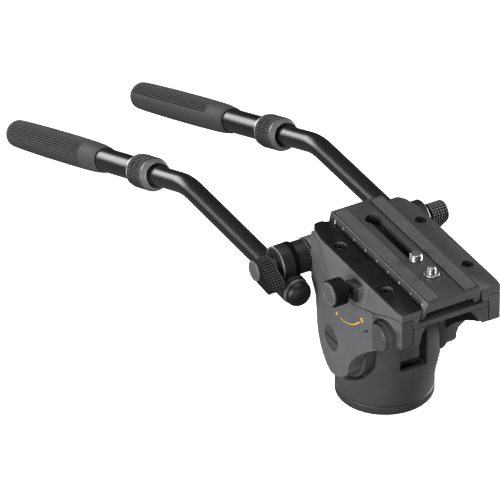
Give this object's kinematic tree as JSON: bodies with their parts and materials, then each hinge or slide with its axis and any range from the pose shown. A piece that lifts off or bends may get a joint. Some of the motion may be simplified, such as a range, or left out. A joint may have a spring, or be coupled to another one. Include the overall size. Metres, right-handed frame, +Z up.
{
  "type": "fluid video head",
  "caption": "Tripod pan and tilt video head with a quick-release sliding camera plate between two rails and a pair of bent telescopic pan handles.",
  "frame": {"origin": "centre of the round mounting face at the bottom of the base, on the pan axis", "axes": "+Z up along the pan axis, -Y towards the front of the camera plate, +Y along the handles, +X to the side with the tilt drag knob"},
  "size_m": [0.1636, 0.5878, 0.1844],
  "materials": {
    "dark_casting": "satin dark grey powder coat on cast alloy",
    "side_grey": "satin grey powder coat on cast alloy",
    "plate_grey": "dark anodised",
    "rubber": "fine textured rubber",
    "grip_rubber": "ribbed foam rubber",
    "tube_black": "satin black anodised",
    "knob_black": "matt moulded plastic",
    "cap_grey": "satin grey plastic",
    "nickel": "bright nickel plate",
    "steel": "turned steel",
    "screw_black": "blackened steel",
    "bronze": "plain bronze"
  },
  "bodies": {
    "base": {"base_ring": "dark_casting", "thread_bushing": "steel", "pan_shaft": "steel", "pan_bearing": "nickel"},
    "pan": {"pan_housing": "dark_casting", "pan_drag_disc": "bronze", "tilt_shaft": "steel", "tilt_drum_left": "dark_casting", "tilt_drum_right": "dark_casting"},
    "pan_lock": {"pan_lock_knob": "knob_black"},
    "tilt": {"deck": "dark_casting", "left_front_arm": "dark_casting", "right_front_arm": "dark_casting", "left_cheek": "side_grey", "right_cheek": "side_grey", "tilt_bush_left": "bronze", "tilt_bush_right": "bronze", "left_rosette": "dark_casting", "right_rosette": "dark_casting", "tilt_axis_cap": "screw_black", "left_rail_rear": "side_grey", "left_rail_front": "side_grey", "right_rail": "side_grey", "rail_screw_left_rear": "screw_black", "rail_screw_left_front": "screw_black", "rail_screw_right_rear": "screw_black", "rail_screw_right_front": "screw_black"},
    "tilt_knob": {"tilt_drag_knob": "knob_black"},
    "clamp_jaw": {"clamp_jaw": "side_grey"},
    "plate_lock": {"plate_lock_knob": "knob_black", "plate_lock_cap": "cap_grey"},
    "safety_button": {"safety_button": "cap_grey"},
    "plate": {"sliding_plate": "plate_grey", "rubber_strip_left": "rubber", "rubber_strip_right": "rubber"},
    "screw_3_8": {"camera_screw_3_8": "nickel"},
    "screw_1_4": {"camera_screw_1_4": "nickel"},
    "bracket_left": {"left_bracket": "dark_casting", "left_tube_end_cap": "knob_black", "left_inner_tube": "tube_black"},
    "wing_left": {"left_wing_knob": "knob_black", "left_wing_cap": "cap_grey"},
    "extension_left": {"left_front_ring": "cap_grey", "left_silver_ring": "steel", "left_outer_tube": "tube_black", "left_grip": "grip_rubber"},
    "collar_left": {"left_lock_collar": "knob_black"},
    "bracket_right": {"right_bracket": "dark_casting", "right_tube_end_cap": "knob_black", "right_inner_tube": "tube_black"},
    "wing_right": {"right_wing_knob": "knob_black", "right_wing_cap": "cap_grey"},
    "extension_right": {"right_front_ring": "cap_grey", "right_silver_ring": "steel", "right_outer_tube": "tube_black", "right_grip": "grip_rubber"},
    "collar_right": {"right_lock_collar": "knob_black"}
  },
  "joints": [
    {"name": "pan", "type": "hinge", "parent": "base", "child": "pan", "pos_m": [0, 0, 0], "axis": [0, 0, 1], "continuous": true},
    {"name": "pan_lock", "type": "hinge", "parent": "pan", "child": "pan_lock", "pos_m": [0, 0.051, 0.029], "axis": [0, 1, 0], "range_deg": [0, 180]},
    {"name": "tilt", "type": "hinge", "parent": "pan", "child": "tilt", "pos_m": [0, 0, 0.0605], "axis": [1, 0, 0], "range_deg": [-60, 45]},
    {"name": "tilt_knob", "type": "hinge", "parent": "tilt", "child": "tilt_knob", "pos_m": [0.0535, 0, 0.0605], "axis": [1, 0, 0], "range_deg": [0, 300]},
    {"name": "jaw_slide", "type": "slide", "parent": "tilt", "child": "clamp_jaw", "axis": [-1, 0, 0], "range_m": [0, 0.0015]},
    {"name": "plate_lock", "type": "hinge", "parent": "clamp_jaw", "child": "plate_lock", "pos_m": [-0.06, -0.0345, 0.1266], "axis": [-1, 0, 0], "range_deg": [0, 90]},
    {"name": "safety_button", "type": "slide", "parent": "clamp_jaw", "child": "safety_button", "axis": [0, 0, -1], "range_m": [0, 0.0014], "stiffness_N_per_m": 400},
    {"name": "plate_slide", "type": "slide", "parent": "tilt", "child": "plate", "axis": [0, 1, 0], "range_m": [-0.02, 0.02]},
    {"name": "screw_3_8_spin", "type": "hinge", "parent": "plate", "child": "screw_3_8", "pos_m": [0, -0.0437, 0.1398], "axis": [0, 0, 1], "continuous": true},
    {"name": "screw_1_4_spin", "type": "hinge", "parent": "plate", "child": "screw_1_4", "pos_m": [0, -0.066, 0.1398], "axis": [0, 0, 1], "continuous": true},
    {"name": "handle_left", "type": "hinge", "parent": "tilt", "child": "bracket_left", "pos_m": [-0.053, 0.0525, 0.1005], "axis": [1, 0, 0], "range_deg": [-40, 70]},
    {"name": "wing_left", "type": "hinge", "parent": "bracket_left", "child": "wing_left", "pos_m": [-0.074, 0.0525, 0.1005], "axis": [-1, 0, 0], "range_deg": [-90, 90]},
    {"name": "extend_left", "type": "slide", "parent": "bracket_left", "child": "extension_left", "axis": [0, 0.9298, -0.3681], "range_m": [0, 0.09]},
    {"name": "collar_left", "type": "hinge", "parent": "extension_left", "child": "collar_left", "pos_m": [-0.0565, 0.199, 0.0855], "axis": [0, 0.9298, -0.3681], "range_deg": [0, 90]},
    {"name": "handle_right", "type": "hinge", "parent": "tilt", "child": "bracket_right", "pos_m": [0.053, 0.0525, 0.1005], "axis": [1, 0, 0], "range_deg": [-40, 70]},
    {"name": "wing_right", "type": "hinge", "parent": "bracket_right", "child": "wing_right", "pos_m": [0.074, 0.0525, 0.1005], "axis": [1, 0, 0], "range_deg": [-90, 90]},
    {"name": "extend_right", "type": "slide", "parent": "bracket_right", "child": "extension_right", "axis": [0, 0.9298, -0.3681], "range_m": [0, 0.09]},
    {"name": "collar_right", "type": "hinge", "parent": "extension_right", "child": "collar_right", "pos_m": [0.0565, 0.199, 0.0855], "axis": [0, 0.9298, -0.3681], "range_deg": [0, 90]}
  ],
  "couplings": [
    {"joint": "plate_lock", "follows": "jaw_slide", "rad_per_m": 1047}
  ]
}
